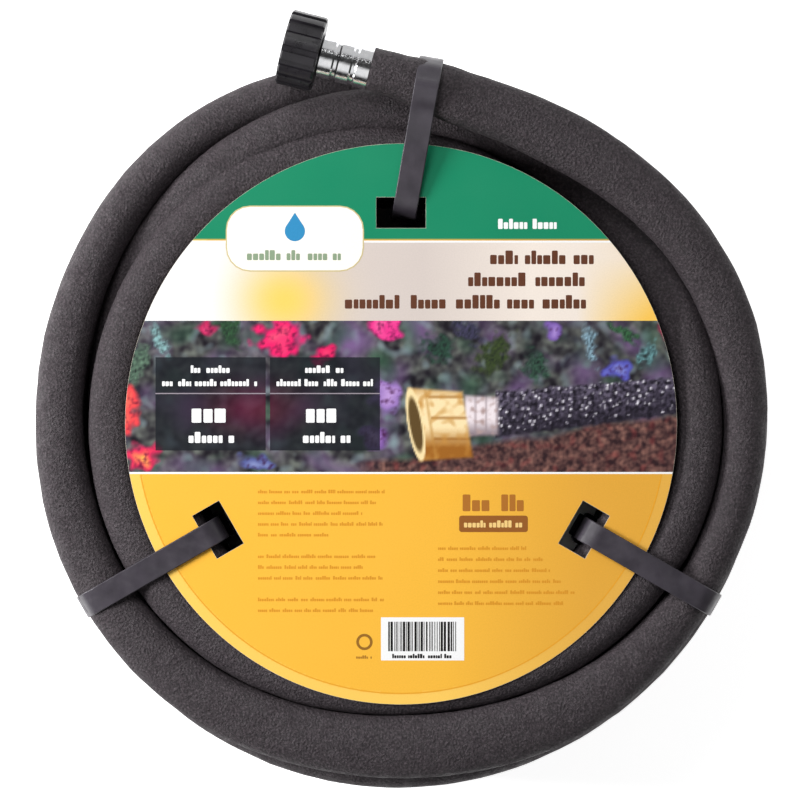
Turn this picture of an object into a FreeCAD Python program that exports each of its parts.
import FreeCAD, Part

import math
import os

import Sketcher

# A soaker hose wound in three columns of six layers round the +Z axis, lying flat with its round
# display card on top. The uppermost turn of the outer column lies loose on the bundle and carries
# the swivel inlet. The other end leaves the bottom of the inner column and carries the outlet with
# its screw cap. Three ties pass through the card's windows and round the bundle. Millimetres.

Vector = FreeCAD.Vector

# ---------------------------------------------------------------- driving dimensions

DIMENSIONS = {
    # hose and bundle
    "hose_od": 20.0,
    "hose_bore": 15.9,
    "crimped_od": 18.4,
    "layer_height": 17.0,
    "layers": 6.0,
    "column_pitch": 21.0,
    "columns": 3.0,
    "coil_inner_radius": 104.0,
    "coil_round": 8.0,
    "base_gap": 0.1,
    # ties
    "band_thickness": 1.2,
    "band_width": 11.0,
    "band_bend": 2.5,
    "band_inner": 103.3,
    "band_at_card": 100.8,
    "band_outer": 167.5,
    "side_shoulder": 94.5,
    "side_crest": 104.6,
    "side_crest_start": 161.0,
    "top_tie_inner": 101.5,
    "top_tie_at_card": 99.9,
    "top_tie_outer": 167.3,
    "top_tie_shoulder": 105.0,
    "top_tie_crest": 123.2,
    "top_tie_crest_end": 160.0,
    "top_tie_crest_start": 148.0,
    "head_width": 15.0,
    "head_depth": 6.0,
    "head_height": 12.0,
    "head_base": 46.0,
    "stub_length": 4.0,
    # display card
    "card_radius": 128.2,
    "card_thickness": 0.6,
    "card_lift": 0.1,
    "window_radius": 96.0,
    "window_wide": 22.5,
    "window_deep": 14.0,
    # 3/4-11.5 garden hose thread
    "thread_pitch": 2.2087,
    "male_crest_radius": 13.4,
    "male_root_radius": 12.06,
    "female_crest_radius": 12.45,
    "female_root_radius": 13.62,
    "thread_crest": 0.4,
    "thread_play": 0.18,
    "thread_merge": 0.2,
    "flank_slope": 0.57735,
    # barbed shanks and crimped sleeves
    "shank_radius": 7.85,
    "barb_radius": 8.15,
    "barb_step": 0.6,
    "stem_bore_radius": 5.8,
    "stem_grip": 20.0,
    "lip_radius": 9.0,
    "lip_end": 0.6,
    "ferrule_length": 23.0,
    "ferrule_radius": 9.85,
    "ferrule_edge": 0.5,
    "crimp_depth": 0.55,
    "crimp_half_width": 1.5,
    "crimp_half_floor": 0.7,
    # inlet coupling
    "neck_radius": 9.9,
    "flange_start": 4.1,
    "flange_thick": 2.0,
    "flange_radius": 12.9,
    "nut_start": 0.8,
    "nut_length": 16.4,
    "nut_radius": 17.1,
    "nut_wall": 3.0,
    "nut_play": 0.3,
    "nut_relief_end": 10.4,
    "thread_entry": 0.7,
    "mouth_radius": 13.7,
    "mouth_length": 2.2,
    "edge": 0.8,
    "disc_thick": 1.2,
    "disc_radius": 12.7,
    "orifice_radius": 1.6,
    "seal_thick": 2.5,
    "seal_radius": 13.0,
    "seal_bore_radius": 8.0,
    "seal_play": 0.3,
    # outlet and its cap
    "collar_radius": 13.6,
    "collar_length": 7.0,
    "collar_half_flats": 12.5,
    "spigot_length": 20.0,
    "thread_start": 9.0,
    "cap_start": 8.2,
    "cap_radius": 16.2,
    "cap_edge": 1.2,
    "cap_end_wall": 2.5,
    "cap_relief": 0.4,
    # grip ribs
    "rib_gap": 3.2,
    "rib_depth": 1.2,
    "rib_draft": 0.4,
}

RIBS = 16
BARBS_AT = (0.8, 0.55, 0.3)
CRIMPS_AT = (0.68, 0.32)

# Places are given about the coil's axis, and every piece is then moved by this, so that the origin
# is in the middle of the footprint with the inlet coupling included.
COIL_AXIS_AT = Vector(0.0, -10.0, 0.0)

# Where each hose end is cut, the way its coupling points, and how far back from the cut the hose
# first turns.
INLET_POINT = Vector(-36.0, 166.3, 113.0)
INLET_AXIS = Vector(-0.968, 0.25, 0.0).normalize()
INLET_STRAIGHT = 38.0
OUTLET_POINT = Vector(31.1, 69.25, 16.5)
OUTLET_AXIS = Vector(0.966, -0.259, 0.0).normalize()
OUTLET_STRAIGHT = 48.0

# The uppermost turn, clockwise from the inlet: angle in degrees, radius, height.
TOP_TURN = [
    (80, 150.3, 108.5),
    (66, 148.9, 105.2),
    (51, 151.1, 102.3),
    (36, 155.5, 99.4),
    (21, 158.4, 96.2),
    (6, 159.1, 94.0),
    (-9, 158.6, 93.3),
    (-24, 156.7, 93.6),
    (-39, 154.4, 95.0),
    (-54, 152.9, 96.8),
    (-69, 150.3, 98.4),
    (-84, 148.2, 99.3),
    (-99, 148.9, 99.0),
    (-114, 151.5, 97.7),
    (-129, 154.6, 96.0),
    (-144, 156.3, 94.7),
    (-159, 157.4, 93.6),
    (-174, 157.4, 93.4),
    (-189, 158.0, 93.1),
    (-204, 159.7, 92.3),
    (-219, 162.5, 90.7),
    (-234, 164.0, 88.4),
    (-249, 162.6, 85.7),
    (-264, 159.0, 82.3),
]

# From the bottom of the inner column to the outlet, clockwise: angle, radius, height.
TAIL = [
    (188.2, 115.3, 10.0),
    (172.2, 112.3, 10.2),
    (155.8, 107.3, 10.8),
    (138.6, 100.5, 12.2),
    (120.3, 92.0, 14.3),
]

doc = FreeCAD.newDocument("SoakerHose")


# ---------------------------------------------------------------- helpers


def make_sheet():
    """The spreadsheet that holds the driving dimensions, one alias each."""
    sheet = doc.addObject("Spreadsheet::Sheet", "dims")
    for row, (alias, value) in enumerate(DIMENSIONS.items(), start=1):
        sheet.set(f"A{row}", alias)
        sheet.set(f"B{row}", str(value))
        sheet.setAlias(f"B{row}", alias)
    doc.recompute()
    return sheet


def new_body(name):
    body = doc.addObject("PartDesign::Body", name)
    body.Label = name
    return body


def new_sketch(body, role, name):
    plane = next(item for item in body.Origin.OriginFeatures if item.Role == role)
    sketch = body.newObject("Sketcher::SketchObject", name)
    sketch.AttachmentSupport = (plane, [""])
    sketch.MapMode = "FlatFace"
    return sketch


def outline(body, role, name, corners):
    """A closed outline of straight sides. Each corner is a pair of expressions on the sheet."""
    sketch = new_sketch(body, role, name)
    count = len(corners)
    for i in range(count):
        start, end = Vector(i, i * i, 0), Vector(i + 1, (i + 1) ** 2, 0)
        sketch.addGeometry(Part.LineSegment(start, end))
    for i in range(count):
        sketch.addConstraint(Sketcher.Constraint("Coincident", i, 2, (i + 1) % count, 1))
    for i, corner in enumerate(corners):
        for kind, place in zip(("DistanceX", "DistanceY"), corner):
            index = sketch.addConstraint(Sketcher.Constraint(kind, -1, 1, i, 1, float(i + 1)))
            label = f"{kind}_{i}"
            sketch.renameConstraint(index, label)
            sketch.setExpression(f"Constraints.{label}", place)
    return sketch


def box_outline(body, role, name, low, high):
    """A rectangle between two corners, each a pair of expressions."""
    (x0, y0), (x1, y1) = low, high
    return outline(body, role, name, [(x0, y0), (x1, y0), (x1, y1), (x0, y1)])


def feature(body, kind, name, sketch=None, **settings):
    """A feature of a body. A setting whose value is an expression on the sheet is bound to it."""
    made = body.newObject("PartDesign::" + kind, name)
    if sketch is not None:
        made.Profile = sketch
    for key, value in settings.items():
        if isinstance(value, str) and "dims." in value:
            made.setExpression(key, value)
        else:
            setattr(made, key, value)
    return made


def turned(body, name, corners):
    """A solid of revolution round the body's own Z axis: corners are radius and height."""
    sketch = outline(body, "XZ_Plane", name + "_outline", corners)
    solid = feature(body, "Revolution", name, sketch, Angle=360.0)
    solid.ReferenceAxis = (sketch, ["V_Axis"])


def repeated(body, name, original, axis_sketch, count):
    """Copies a feature round the body's own Z axis."""
    pattern = feature(body, "PolarPattern", name, Angle=360.0)
    pattern.Originals = [original]
    pattern.Axis = (axis_sketch, ["N_Axis"])
    pattern.Occurrences = count
    body.Tip = pattern


def rounded(body, name, radius, wanted):
    """Rounds the edges of the body's tip that the test picks."""
    doc.recompute()
    base = body.Tip
    picked = [f"Edge{i}" for i, edge in enumerate(base.Shape.Edges, start=1) if wanted(edge)]
    fillet = feature(body, "Fillet", name, Radius=radius)
    fillet.Base = (base, picked)
    body.Tip = fillet
    return fillet


def place_coupling(body, point, axis):
    """Puts a coupling's own Z axis on the hose's end, pointing away from the hose."""
    body.Placement = FreeCAD.Placement(point, FreeCAD.Rotation(Vector(0, 0, 1), axis))


def polar(angle, radius, height):
    turn = math.radians(angle)
    return Vector(radius * math.cos(turn), radius * math.sin(turn), height)


# ---------------------------------------------------------------- the hose


def rounded_path(points):
    """Straight runs joined by tangent arcs, each as large as its two runs allow."""
    edges, radii = [], []
    start = points[0]
    for before, corner, after in zip(points, points[1:], points[2:]):
        back, ahead = before - corner, after - corner
        half_turn = (math.pi - back.getAngle(ahead)) / 2
        reach = 0.45 * min(back.Length, ahead.Length)
        radius = reach / math.tan(half_turn)
        first = corner + back.normalize() * reach
        last = corner + ahead.normalize() * reach
        inward = ((first + last) / 2 - corner).normalize()
        middle = corner + inward * (radius / math.cos(half_turn) - radius)
        edges.append(Part.LineSegment(start, first).toShape())
        edges.append(Part.Arc(first, middle, last).toShape())
        radii.append(radius)
        start = last
    edges.append(Part.LineSegment(start, points[-1]).toShape())
    return Part.Wire(edges), radii


def hose_stretch(sheet, name, point, axis, straight, route):
    """A hollow stretch of hose, from the grip of its crimped sleeve to where it joins the bundle."""
    outer, bore, crimped = sheet.hose_od / 2, sheet.hose_bore / 2, sheet.crimped_od / 2
    mouth = point - axis * sheet.ferrule_length
    wire, radii = rounded_path([mouth, point - axis * straight] + [polar(*p) for p in route])

    def swept(radius):
        return wire.makePipe(Part.Face(Part.Wire(Part.makeCircle(radius, mouth, axis))))

    def gripped(radius):
        return Part.makeCylinder(radius, sheet.ferrule_length, mouth, axis)

    free = swept(outer).cut(swept(bore))
    share = free.Volume / (math.pi * (outer**2 - bore**2) * wire.Length)
    print(f"{name}: {wire.Length:.0f} mm, volume over section times length {share:.4f}")
    print("  radii " + ", ".join(f"{radius:.0f}" for radius in radii))
    stretch = doc.addObject("Part::Feature", name)
    stretch.Label = name
    stretch.Shape = free.fuse(gripped(crimped).cut(gripped(bore)))


def hose_coil():
    """The outer shape of the wound bundle: three columns, with the outer one a layer lower."""
    body = new_body("hose_coil")
    base = "dims.band_thickness + dims.base_gap"
    top = f"{base} + dims.layers * dims.layer_height"
    inner = "dims.coil_inner_radius"
    outer = f"{inner} + dims.columns * dims.column_pitch"
    step = f"{outer} - dims.column_pitch"
    low = f"{top} - dims.layer_height"
    corners = [(inner, base), (outer, base), (outer, low), (step, low), (step, top), (inner, top)]
    turned(body, "bundle", corners)
    columns_inside = DIMENSIONS["columns"] - 1
    step_radius = DIMENSIONS["coil_inner_radius"] + columns_inside * DIMENSIONS["column_pitch"]
    top_height = (DIMENSIONS["layers"] - 0.5) * DIMENSIONS["layer_height"]

    def convex(edge):
        at_step = abs(edge.BoundBox.XMax - step_radius) < 0.1
        return not (at_step and edge.BoundBox.ZMax < top_height)

    rounded(body, "rounded_turns", "dims.coil_round", convex)


# ---------------------------------------------------------------- couplings


def ferrule(name, point, axis):
    """A crimped sleeve over the hose, with two rolled grooves."""
    body = new_body(name)
    bore, wall, rear = "dims.crimped_od / 2", "dims.ferrule_radius", "0 - dims.ferrule_length"
    floor = f"{wall} - dims.crimp_depth"
    corners = [(bore, rear), (wall, rear)]
    for share in CRIMPS_AT:
        middle = f"0 - dims.ferrule_length * {share}"
        corners += [
            (wall, f"{middle} - dims.crimp_half_width"),
            (floor, f"{middle} - dims.crimp_half_floor"),
            (floor, f"{middle} + dims.crimp_half_floor"),
            (wall, f"{middle} + dims.crimp_half_width"),
        ]
    corners += [
        (wall, "0"),
        (f"{wall} - dims.ferrule_edge", "dims.ferrule_edge"),
        (bore, "dims.ferrule_edge"),
    ]
    turned(body, "sleeve", corners)
    place_coupling(body, point, axis)


def shank_corners():
    """The barbed shank, from its tip inside the hose to the lip that closes the crimped sleeve."""
    shank, barb, tip = "dims.shank_radius", "dims.barb_radius", "0 - dims.stem_grip"
    corners = [("dims.stem_bore_radius", tip), (f"{shank} - dims.barb_step", tip)]
    for share in BARBS_AT:
        crest = f"0 - dims.stem_grip * {share}"
        corners += [(barb, crest), (shank, f"{crest} + 0.1")]
    return corners + [(shank, "0"), ("dims.lip_radius", "0"), ("dims.lip_radius", "dims.lip_end")]


def inlet_stem():
    """The barbed stem, with the neck and the flange that the nut turns on."""
    body = new_body("inlet_stem")
    bore, neck, flange = "dims.stem_bore_radius", "dims.neck_radius", "dims.flange_radius"
    front = "dims.flange_start + dims.flange_thick"
    neck_and_flange = [
        (neck, "dims.lip_end"),
        (neck, "dims.flange_start"),
        (flange, "dims.flange_start"),
        (flange, front),
        (bore, front),
    ]
    turned(body, "stem", shank_corners() + neck_and_flange)
    place_coupling(body, INLET_POINT, INLET_AXIS)


def ribbed(body, radius):
    """Grip ribs round a nut or cap: gaps with drafted sides, cut along its whole length."""
    low, high = f"{radius} - dims.rib_depth", f"{radius} + dims.rib_depth"
    narrow = "dims.rib_gap / 2 - dims.rib_draft"
    wide = "dims.rib_gap / 2 + dims.rib_draft"
    corners = [(low, f"0 - ({narrow})"), (high, f"0 - ({wide})"), (high, wide), (low, narrow)]
    sketch = outline(body, "XY_Plane", "rib_gap_outline", corners)
    gap = feature(body, "Pocket", "rib_gap", sketch, Type="ThroughAll", Midplane=True)
    repeated(body, "rib_gaps", gap, sketch, RIBS)


def thread_outline(body, name, inner, outer, play, start):
    """A thread's section beside the axis, as wide at each radius as its flanks are there."""

    def half(radius):
        flank = f"(dims.male_crest_radius - ({radius})) * dims.flank_slope"
        return f"(dims.thread_crest / 2 + {flank} + {play})"

    corners = [
        (inner, f"{start} - {half(inner)}"),
        (outer, f"{start} - {half(outer)}"),
        (outer, f"{start} + {half(outer)}"),
        (inner, f"{start} + {half(inner)}"),
    ]
    return outline(body, "XZ_Plane", name, corners)


def female_thread(body, start, height):
    """A helical groove cut into a bore of the female crest radius."""
    inner = "dims.female_crest_radius - dims.thread_merge"
    outer = "dims.female_root_radius"
    sketch = thread_outline(body, "groove_outline", inner, outer, "dims.thread_play", start)
    groove = feature(
        body, "SubtractiveHelix", "thread", sketch, Pitch="dims.thread_pitch", Height=height
    )
    groove.ReferenceAxis = (sketch, ["V_Axis"])


def male_thread(body, start, height):
    """A helical ridge on a spigot of the male root radius."""
    inner = "dims.male_root_radius - dims.thread_merge"
    sketch = thread_outline(body, "ridge_outline", inner, "dims.male_crest_radius", "0", start)
    ridge = feature(
        body, "AdditiveHelix", "thread", sketch, Pitch="dims.thread_pitch", Height=height
    )
    ridge.ReferenceAxis = (sketch, ["V_Axis"])


def inlet_nut():
    """The swivel nut: a rear wall behind the stem's flange, room for the seal, and a thread."""
    body = new_body("inlet_nut")
    rear, end = "dims.nut_start", "dims.nut_start + dims.nut_length"
    wall, neck = "dims.nut_radius", "dims.neck_radius + dims.nut_play"
    relief, crest = "dims.seal_radius + dims.nut_play", "dims.female_crest_radius"
    seat = f"{rear} + dims.nut_wall"
    corners = [
        (neck, rear),
        (f"{wall} - dims.edge", rear),
        (wall, f"{rear} + dims.edge"),
        (wall, f"{end} - dims.edge"),
        (f"{wall} - dims.edge", end),
        ("dims.mouth_radius", end),
        ("dims.mouth_radius", f"{end} - dims.mouth_length"),
        (crest, f"{end} - dims.mouth_length - dims.thread_entry"),
        (crest, "dims.nut_relief_end"),
        (relief, "dims.nut_relief_end"),
        (relief, seat),
        (neck, seat),
    ]
    turned(body, "nut", corners)
    ribbed(body, wall)
    female_thread(body, "(dims.nut_relief_end - dims.cap_relief)", "4 * dims.thread_pitch")
    place_coupling(body, INLET_POINT, INLET_AXIS)


def ring(name, start, thick, outer, inner, point, axis):
    """A flat ring round a coupling's axis, such as a seal or a disc."""
    body = new_body(name)
    end = f"{start} + {thick}"
    turned(body, "ring", [(inner, start), (outer, start), (outer, end), (inner, end)])
    place_coupling(body, point, axis)


def inlet_disc_and_seal():
    seal, hole = "dims.seal_radius", "dims.seal_bore_radius"
    start = "dims.flange_start + dims.flange_thick + dims.seal_play"
    front = f"{start} + dims.disc_thick"
    disc = ("dims.disc_thick", "dims.disc_radius", "dims.orifice_radius")
    ring("flow_disc", start, *disc, INLET_POINT, INLET_AXIS)
    ring("inlet_washer", front, "dims.seal_thick", seal, hole, INLET_POINT, INLET_AXIS)


def outlet_stem():
    """The male end: barbed shank, a collar with six flats, and a threaded spigot."""
    body = new_body("outlet_stem")
    collar, collar_end = "dims.collar_radius", "dims.collar_length"
    root, end = "dims.male_root_radius", "dims.spigot_length"
    collar_and_spigot = [
        (collar, "dims.lip_end"),
        (collar, collar_end),
        (root, collar_end),
        (root, f"{end} - dims.thread_entry"),
        (f"{root} - dims.thread_entry", end),
        ("dims.stem_bore_radius", end),
    ]
    turned(body, "stem", shank_corners() + collar_and_spigot)
    flat, far = "dims.collar_half_flats", f"{collar} + 1"
    low, high = (flat, f"0 - ({far})"), (far, far)
    sketch = box_outline(body, "XY_Plane", "flat_outline", low, high)
    cut = feature(body, "Pocket", "flat", sketch, Reversed=True, Length=collar_end)
    repeated(body, "flats", cut, sketch, 6)
    male_thread(body, "dims.thread_start", "4.3 * dims.thread_pitch")
    place_coupling(body, OUTLET_POINT, OUTLET_AXIS)


def end_cap():
    """The screw cap: closed end, seat for its seal, and a thread in step with the spigot's."""
    body = new_body("end_cap")
    start, wall, crest = "dims.cap_start", "dims.cap_radius", "dims.female_crest_radius"
    seat = "dims.spigot_length + 2 * dims.seal_play + dims.seal_thick"
    end = f"{seat} + dims.cap_end_wall"
    relief, relief_start = "dims.seal_radius + dims.nut_play", "dims.spigot_length - dims.cap_relief"
    corners = [
        (crest, start),
        (f"{wall} - dims.edge", start),
        (wall, f"{start} + dims.edge"),
        (wall, f"{end} - dims.cap_edge"),
        (f"{wall} - dims.cap_edge", end),
        ("0", end),
        ("0", seat),
        (relief, seat),
        (relief, relief_start),
        (crest, relief_start),
    ]
    turned(body, "cap", corners)
    ribbed(body, wall)
    female_thread(body, "(dims.thread_start - dims.thread_pitch)", "5.6 * dims.thread_pitch")
    place_coupling(body, OUTLET_POINT, OUTLET_AXIS)


def cap_washer():
    start, seal, hole = "dims.spigot_length + dims.seal_play", "dims.seal_radius", "dims.seal_bore_radius"
    ring("cap_washer", start, "dims.seal_thick", seal, hole, OUTLET_POINT, OUTLET_AXIS)


# ---------------------------------------------------------------- card and ties


def label_card():
    """The round display card, with three windows that the ties pass through."""
    body = new_body("label_card")
    rim = new_sketch(body, "XY_Plane", "disc_outline")
    rim.addGeometry(Part.Circle(Vector(0, 0, 0), Vector(0, 0, 1), DIMENSIONS["card_radius"]))
    rim.addConstraint(Sketcher.Constraint("Coincident", 0, 3, -1, 1))
    index = rim.addConstraint(Sketcher.Constraint("Radius", 0, DIMENSIONS["card_radius"]))
    rim.renameConstraint(index, "radius")
    rim.setExpression("Constraints.radius", "dims.card_radius")
    feature(body, "Pad", "disc", rim, Length="dims.card_thickness")
    half, near = "dims.window_wide / 2", "dims.window_radius - dims.window_deep / 2"
    low, high = (f"0 - {half}", near), (half, f"{near} + dims.window_deep")
    sketch = box_outline(body, "XY_Plane", "window_outline", low, high)
    window = feature(body, "Pocket", "window", sketch, Type="ThroughAll", Midplane=True)
    repeated(body, "windows", window, sketch, 3)
    base = "dims.band_thickness + dims.base_gap"
    body.setExpression(
        ".Placement.Base.z", f"{base} + dims.layers * dims.layer_height + dims.card_lift"
    )


def tie(name, angle, shift, corners):
    """A cable tie: a band closed round the bundle, and its locking head on the inner wall.

    The corners are the line of the band's inner face, as distance outwards and height, in an
    upright plane at the angle, moved sideways by the shift. The first one is at the inner wall.
    """
    body = new_body(name)
    inside = outline(body, "XZ_Plane", "inside_outline", corners)
    feature(body, "Pad", "core", inside, Midplane=True, Length="dims.band_width")
    least = DIMENSIONS["band_width"] - 0.1
    bends = rounded(body, "bends", "dims.band_bend", lambda e: e.BoundBox.YLength > least)
    doc.recompute()
    faces = enumerate(bends.Shape.Faces, start=1)
    open_sides = [f"Face{i}" for i, face in faces if face.BoundBox.YLength < 0.1]
    band = feature(body, "Thickness", "band", Value="dims.band_thickness", Reversed=False)
    band.Base = (bends, open_sides)
    body.Tip = band
    wall = corners[0][0]
    back = f"{wall} - dims.band_thickness - dims.head_depth"
    bottom, top = "dims.head_base", "dims.head_base + dims.head_height"
    front = f"{wall} - dims.band_thickness / 3"
    head = box_outline(body, "XZ_Plane", "head_outline", (back, bottom), (front, top))
    feature(body, "Pad", "head", head, Midplane=True, Length="dims.head_width")
    tip = f"{back} - dims.stub_length"
    under = "dims.head_base + dims.head_height / 2 - dims.band_thickness / 2"
    over = f"{under} + dims.band_thickness"
    stub = box_outline(body, "XZ_Plane", "cut_end_outline", (tip, under), (wall, over))
    feature(body, "Pad", "cut_end", stub, Midplane=True, Length="dims.band_width")
    turn = FreeCAD.Rotation(Vector(0, 0, 1), angle)
    body.Placement = FreeCAD.Placement(turn.multVec(Vector(0, shift, 0)), turn)


def ties():
    """Two ties straight across the bundle, and one askew, over the rising start of the hose."""
    floor = "dims.band_thickness"
    card = "dims.band_thickness + dims.layers * dims.layer_height + dims.card_thickness + dims.base_gap"
    over_card = f"{card} + 2 * dims.card_lift"
    side = [
        ("dims.band_inner", floor),
        ("dims.band_outer", floor),
        ("dims.band_outer", "dims.side_shoulder"),
        ("dims.side_crest_start", "dims.side_crest"),
        ("dims.band_at_card", over_card),
    ]
    askew = [
        ("dims.top_tie_inner", floor),
        ("dims.top_tie_outer", floor),
        ("dims.top_tie_outer", "dims.top_tie_shoulder"),
        ("dims.top_tie_crest_end", "dims.top_tie_crest"),
        ("dims.top_tie_crest_start", "dims.top_tie_crest"),
        ("dims.top_tie_at_card", f"{over_card} + dims.card_lift"),
    ]
    tie("tie_left", 210.0, 0.0, side)
    tie("tie_right", 330.0, 0.0, side)
    tie("tie_top", 80.0, 15.1, askew)


# ---------------------------------------------------------------- build and export


def pieces():
    return [item for item in doc.Objects if item.TypeId in ("PartDesign::Body", "Part::Feature")]


def build():
    sheet = make_sheet()
    inlet = (INLET_POINT, INLET_AXIS)
    outlet = (OUTLET_POINT, OUTLET_AXIS)
    hose_stretch(sheet, "hose_top_turn", *inlet, INLET_STRAIGHT, TOP_TURN)
    hose_stretch(sheet, "hose_tail", *outlet, OUTLET_STRAIGHT, TAIL[::-1])
    hose_coil()
    ferrule("inlet_ferrule", *inlet)
    ferrule("outlet_ferrule", *outlet)
    inlet_stem()
    inlet_nut()
    inlet_disc_and_seal()
    outlet_stem()
    end_cap()
    cap_washer()
    label_card()
    ties()
    doc.recompute()
    move = FreeCAD.Placement(COIL_AXIS_AT, FreeCAD.Rotation())
    for piece in pieces():
        piece.Placement = move.multiply(piece.Placement)
    doc.recompute()


def export():
    """Writes one STEP file for each piece, after checking that every one of them is sound."""
    for item in doc.Objects:
        if "Invalid" in item.State or "Error" in item.State:
            raise RuntimeError(f"{item.Label} did not compute")
    for piece in pieces():
        shape = piece.Shape
        if shape.isNull() or not shape.isValid() or len(shape.Solids) != 1:
            raise RuntimeError(f"{piece.Label} is not one sound solid")
    os.makedirs("parts", exist_ok=True)
    for piece in pieces():
        piece.Shape.exportStep(f"parts/{piece.Label}.step")
        print(f"{piece.Label}: {piece.Shape.Volume / 1000:.2f} cm3")


build()
export()
